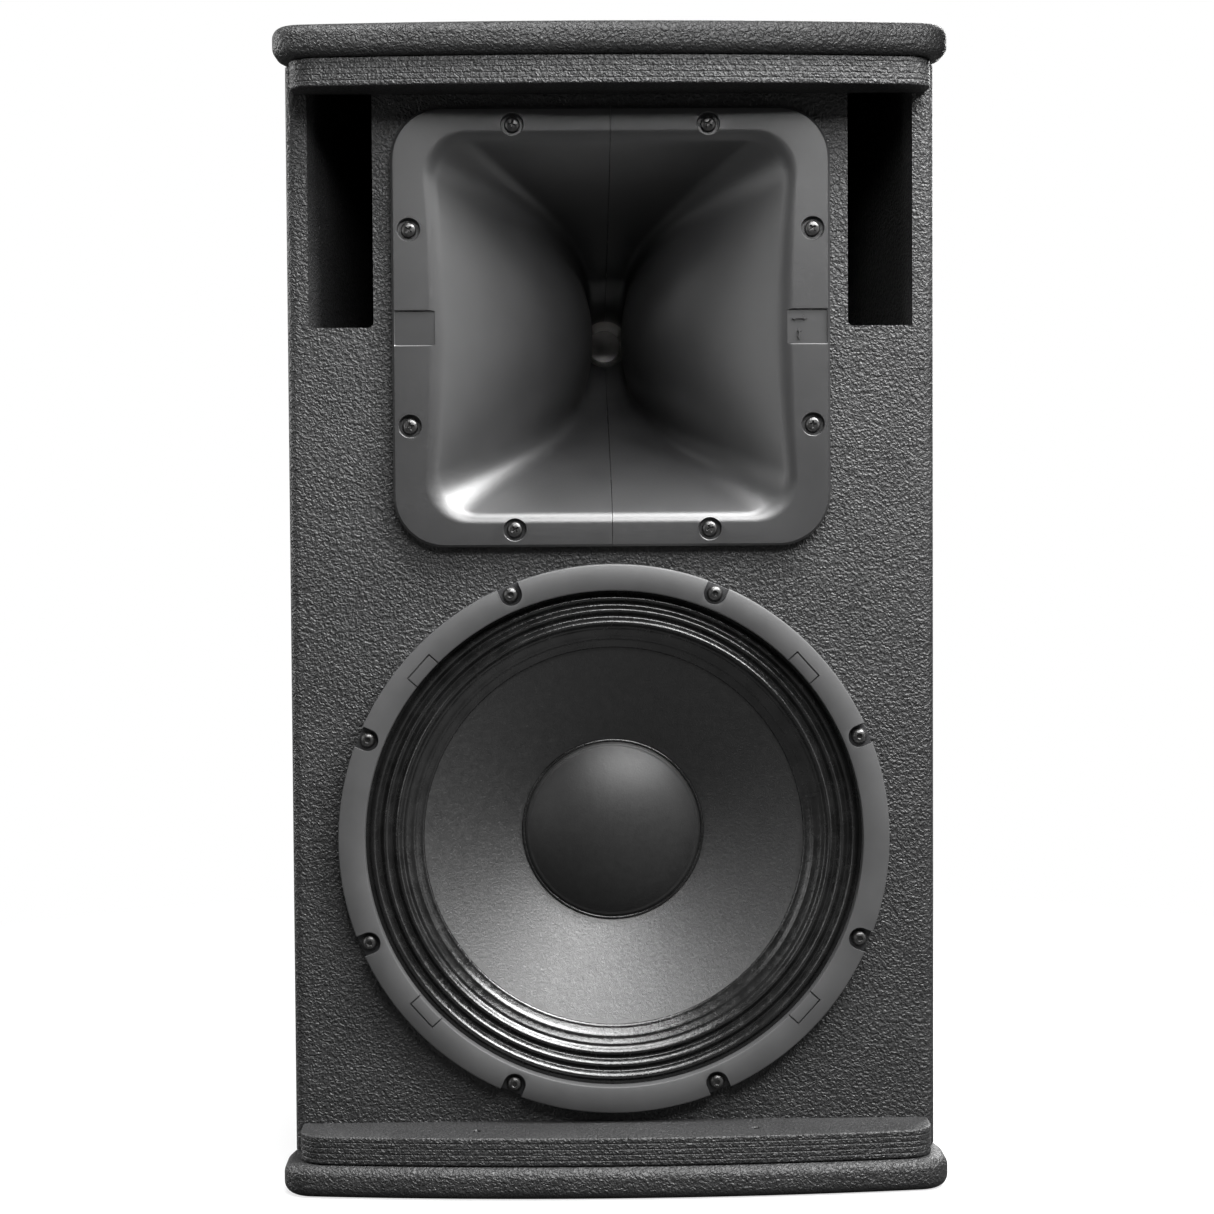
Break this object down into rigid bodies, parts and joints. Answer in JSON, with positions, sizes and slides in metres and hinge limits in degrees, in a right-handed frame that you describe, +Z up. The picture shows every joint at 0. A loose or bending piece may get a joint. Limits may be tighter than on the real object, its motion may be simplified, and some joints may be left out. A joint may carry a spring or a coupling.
{
  "type": "loudspeaker cabinet",
  "caption": "Two-way loudspeaker cabinet: tapered plywood box with bowed caps, woofer, square horn, slot ports and a dished rear input plate.",
  "frame": {"origin": "on the floor under the centre of the bounding box", "axes": "+Z up; the front with the horn and woofer faces -Y; +X is to the right when looking at the front"},
  "size_m": [0.373, 0.35, 0.648],
  "materials": {
    "coating": "black textured paint over plywood",
    "bare_plywood": "sawn plywood",
    "padding": "needled fleece",
    "horn_plastic": "satin moulding",
    "ring_plastic": "matt moulding",
    "casting": "black powder coat on a casting",
    "treated_cloth": "cloth with glossy damping compound",
    "cone_paper": "felted paper",
    "spider_cloth": "resin-treated cotton",
    "copper": "enamelled copper wire",
    "plated_steel": "zinc plated",
    "ferrite": "ground ferrite",
    "black_steel": "black oxide",
    "titanium": "formed foil",
    "black_plastic": "fine matt grain",
    "blue_plastic": "satin moulding",
    "capacitor_film": "wrapped film",
    "fibreboard": "plain fibreboard",
    "cable": "smooth jacket"
  },
  "bodies": {
    "cabinet": {"baffle": "coating", "bottom_grille_rail": "coating", "bottom_panel": "coating", "crossover_board": "fibreboard", "crossover_capacitor": "capacitor_film", "damping_pad": "padding", "hf_driver_cover": "black_plastic", "hf_inductor": "copper", "hf_lead": "cable", "hf_magnet": "ferrite", "hf_throat_plate": "plated_steel", "horn_left_half": "horn_plastic", "horn_right_half": "horn_plastic", "horn_screw_1": "black_steel", "horn_screw_2": "black_steel", "horn_screw_3": "black_steel", "horn_screw_4": "black_steel", "horn_screw_5": "black_steel", "horn_screw_6": "black_steel", "horn_screw_7": "black_steel", "horn_screw_8": "black_steel", "input_plate": "black_plastic", "left_port_duct": "coating", "left_side_panel": "coating", "lf_inductor": "copper", "lf_lead": "cable", "rear_panel": "coating", "rear_rigging_screw": "black_steel", "right_port_duct": "coating", "right_side_panel": "coating", "shelf_brace": "bare_plywood", "speaker_socket_1": "blue_plastic", "speaker_socket_2": "blue_plastic", "terminal_strip": "black_plastic", "top_grille_rail": "coating", "top_panel": "coating", "top_rigging_screw_front": "black_steel", "top_rigging_screw_rear": "black_steel", "woofer_basket": "casting", "woofer_magnet": "ferrite", "woofer_pole_plate": "plated_steel", "woofer_screw_1": "black_steel", "woofer_screw_2": "black_steel", "woofer_screw_3": "black_steel", "woofer_screw_4": "black_steel", "woofer_screw_5": "black_steel", "woofer_screw_6": "black_steel", "woofer_screw_7": "black_steel", "woofer_screw_8": "black_steel", "woofer_spider": "spider_cloth", "woofer_surround": "treated_cloth", "woofer_terminal": "black_plastic", "woofer_top_plate": "plated_steel", "woofer_trim_ring": "ring_plastic"},
    "cone": {"woofer_cone": "cone_paper", "woofer_dust_cap": "cone_paper", "voice_coil": "copper"},
    "hf_diaphragm": {"hf_diaphragm": "titanium"},
    "terminal_cover": {"terminal_cover": "black_plastic"},
    "mode_switch": {"mode_switch": "black_plastic"}
  },
  "joints": [
    {"name": "cone_travel", "type": "slide", "parent": "cabinet", "child": "cone", "axis": [0, -1, 0], "range_m": [-0.006, 0.006], "stiffness_N_per_m": 6000, "deforming": ["woofer_surround", "woofer_spider"]},
    {"name": "hf_diaphragm_travel", "type": "slide", "parent": "cabinet", "child": "hf_diaphragm", "axis": [0, 1, 0], "range_m": [-0.0003, 0.0003], "stiffness_N_per_m": 2000},
    {"name": "terminal_cover_hinge", "type": "hinge", "parent": "cabinet", "child": "terminal_cover", "pos_m": [-0.028, 0.157, 0.2325], "axis": [1, 0, 0], "range_deg": [0, 105]},
    {"name": "mode_switch_slide", "type": "slide", "parent": "cabinet", "child": "mode_switch", "axis": [1, 0, 0], "range_m": [0, 0.006]}
  ]
}
